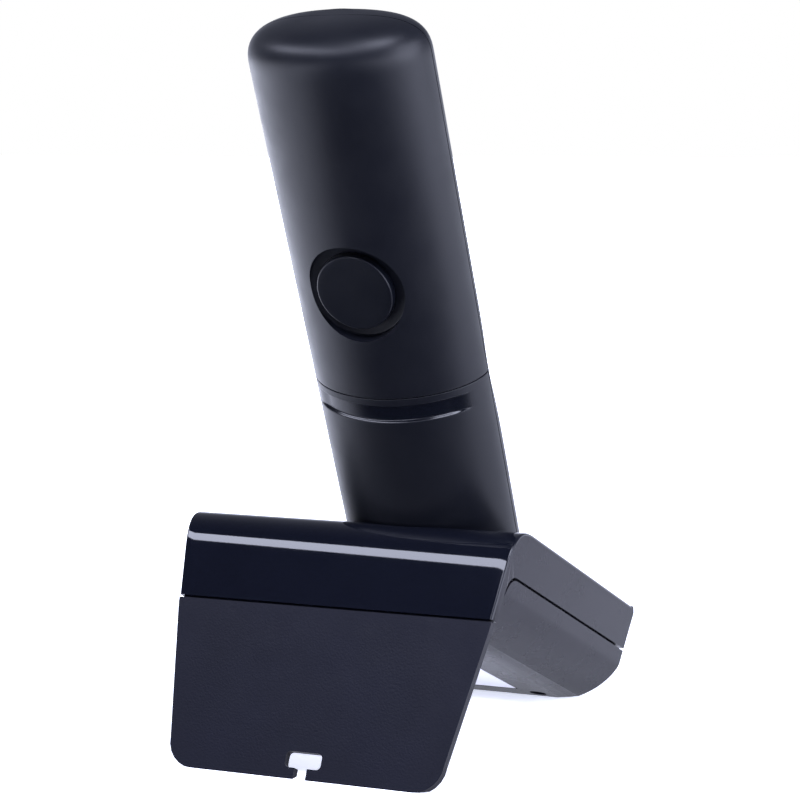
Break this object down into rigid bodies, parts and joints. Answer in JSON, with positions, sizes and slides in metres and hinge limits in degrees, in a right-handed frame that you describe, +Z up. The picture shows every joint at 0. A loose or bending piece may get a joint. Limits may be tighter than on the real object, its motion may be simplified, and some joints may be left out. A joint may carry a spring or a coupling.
{
  "type": "cordless phone",
  "caption": "Dark cordless phone: slim handset with a keypad, standing in a tent-shaped charging base with a glossy ridge.",
  "frame": {"origin": "on the desk, under the middle of the whole phone with its handset docked", "axes": "+Z up, +X across the base (the side with the sockets), +Y towards the thin rear leg, -Y towards the keypad"},
  "size_m": [0.1, 0.1445, 0.2024],
  "materials": {
    "gloss_black": "polished",
    "base_satin": "satin",
    "base_matte": "fine texture",
    "page_grey": "satin",
    "part_black": "matte",
    "circuit_board": "solder mask",
    "contact_metal": "plated",
    "silver_label": "printed foil",
    "foot_rubber": "matte",
    "screw_steel": "plain",
    "handset_satin": "satin lacquer",
    "speaker_metal": "plain",
    "display_window": "clear",
    "display_grey": "flat",
    "mat_rubber": "matte",
    "cell_wrap": "shrink wrap",
    "key_grey": "satin",
    "key_dark": "gloss",
    "key_green": "gloss",
    "key_red": "gloss"
  },
  "bodies": {
    "base": {"lower_housing": "base_matte", "upper_housing": "base_satin", "top_fascia": "gloss_black", "cradle_cup": "gloss_black", "page_switch": "part_black", "base_board": "circuit_board", "line_socket": "part_black", "power_socket": "part_black", "charge_pins": "contact_metal", "rating_label": "silver_label", "rubber_feet": "foot_rubber", "base_screws": "screw_steel"},
    "handset": {"rear_shell": "handset_satin", "front_shell": "handset_satin", "speaker_cover": "handset_satin", "loudspeaker": "speaker_metal", "earpiece": "speaker_metal", "microphone": "contact_metal", "display_lens": "display_window", "display_module": "display_grey", "key_mat": "mat_rubber", "handset_board": "circuit_board", "battery_cell_left": "cell_wrap", "battery_cell_right": "cell_wrap", "battery_contacts": "contact_metal", "charge_pads": "contact_metal", "aerial": "contact_metal", "handset_screws": "screw_steel"},
    "battery_door": {"battery_door": "handset_satin"},
    "page_key": {"page_key": "page_grey"},
    "talk_key": {"talk_key": "key_green"},
    "end_key": {"end_key": "key_red"},
    "menu_key_left": {"menu_key_left": "key_dark"},
    "menu_key_right": {"menu_key_right": "key_dark"},
    "cursor_key": {"cursor_key": "key_dark"},
    "key_1": {"key_1": "key_grey"},
    "key_2": {"key_2": "key_grey"},
    "key_3": {"key_3": "key_grey"},
    "key_4": {"key_4": "key_grey"},
    "key_5": {"key_5": "key_grey"},
    "key_6": {"key_6": "key_grey"},
    "key_7": {"key_7": "key_grey"},
    "key_8": {"key_8": "key_grey"},
    "key_9": {"key_9": "key_grey"},
    "key_star": {"key_star": "key_grey"},
    "key_0": {"key_0": "key_grey"},
    "key_hash": {"key_hash": "key_grey"}
  },
  "joints": [
    {"name": "handset_lift", "type": "slide", "parent": "base", "child": "handset", "axis": [0, 0.3971, 0.9178], "range_m": [0, 0.11]},
    {"name": "battery_door_slide", "type": "slide", "parent": "handset", "child": "battery_door", "axis": [0, -0.3971, -0.9178], "range_m": [0, 0.004]},
    {"name": "page_key_press", "type": "slide", "parent": "base", "child": "page_key", "axis": [0, 0.3923, -0.9198], "range_m": [0, 0.001], "stiffness_N_per_m": 800},
    {"name": "talk_key_press", "type": "slide", "parent": "handset", "child": "talk_key", "axis": [0, 0.9178, -0.3971], "range_m": [0, 0.0008], "stiffness_N_per_m": 800},
    {"name": "end_key_press", "type": "slide", "parent": "handset", "child": "end_key", "axis": [0, 0.9178, -0.3971], "range_m": [0, 0.0008], "stiffness_N_per_m": 800},
    {"name": "menu_key_left_press", "type": "slide", "parent": "handset", "child": "menu_key_left", "axis": [0, 0.9178, -0.3971], "range_m": [0, 0.0008], "stiffness_N_per_m": 800},
    {"name": "menu_key_right_press", "type": "slide", "parent": "handset", "child": "menu_key_right", "axis": [0, 0.9178, -0.3971], "range_m": [0, 0.0008], "stiffness_N_per_m": 800},
    {"name": "cursor_key_press", "type": "slide", "parent": "handset", "child": "cursor_key", "axis": [0, 0.9178, -0.3971], "range_m": [0, 0.0008], "stiffness_N_per_m": 800},
    {"name": "key_1_press", "type": "slide", "parent": "handset", "child": "key_1", "axis": [0, 0.9178, -0.3971], "range_m": [0, 0.0008], "stiffness_N_per_m": 800},
    {"name": "key_2_press", "type": "slide", "parent": "handset", "child": "key_2", "axis": [0, 0.9178, -0.3971], "range_m": [0, 0.0008], "stiffness_N_per_m": 800},
    {"name": "key_3_press", "type": "slide", "parent": "handset", "child": "key_3", "axis": [0, 0.9178, -0.3971], "range_m": [0, 0.0008], "stiffness_N_per_m": 800},
    {"name": "key_4_press", "type": "slide", "parent": "handset", "child": "key_4", "axis": [0, 0.9178, -0.3971], "range_m": [0, 0.0008], "stiffness_N_per_m": 800},
    {"name": "key_5_press", "type": "slide", "parent": "handset", "child": "key_5", "axis": [0, 0.9178, -0.3971], "range_m": [0, 0.0008], "stiffness_N_per_m": 800},
    {"name": "key_6_press", "type": "slide", "parent": "handset", "child": "key_6", "axis": [0, 0.9178, -0.3971], "range_m": [0, 0.0008], "stiffness_N_per_m": 800},
    {"name": "key_7_press", "type": "slide", "parent": "handset", "child": "key_7", "axis": [0, 0.9178, -0.3971], "range_m": [0, 0.0008], "stiffness_N_per_m": 800},
    {"name": "key_8_press", "type": "slide", "parent": "handset", "child": "key_8", "axis": [0, 0.9178, -0.3971], "range_m": [0, 0.0008], "stiffness_N_per_m": 800},
    {"name": "key_9_press", "type": "slide", "parent": "handset", "child": "key_9", "axis": [0, 0.9178, -0.3971], "range_m": [0, 0.0008], "stiffness_N_per_m": 800},
    {"name": "key_star_press", "type": "slide", "parent": "handset", "child": "key_star", "axis": [0, 0.9178, -0.3971], "range_m": [0, 0.0008], "stiffness_N_per_m": 800},
    {"name": "key_0_press", "type": "slide", "parent": "handset", "child": "key_0", "axis": [0, 0.9178, -0.3971], "range_m": [0, 0.0008], "stiffness_N_per_m": 800},
    {"name": "key_hash_press", "type": "slide", "parent": "handset", "child": "key_hash", "axis": [0, 0.9178, -0.3971], "range_m": [0, 0.0008], "stiffness_N_per_m": 800}
  ]
}
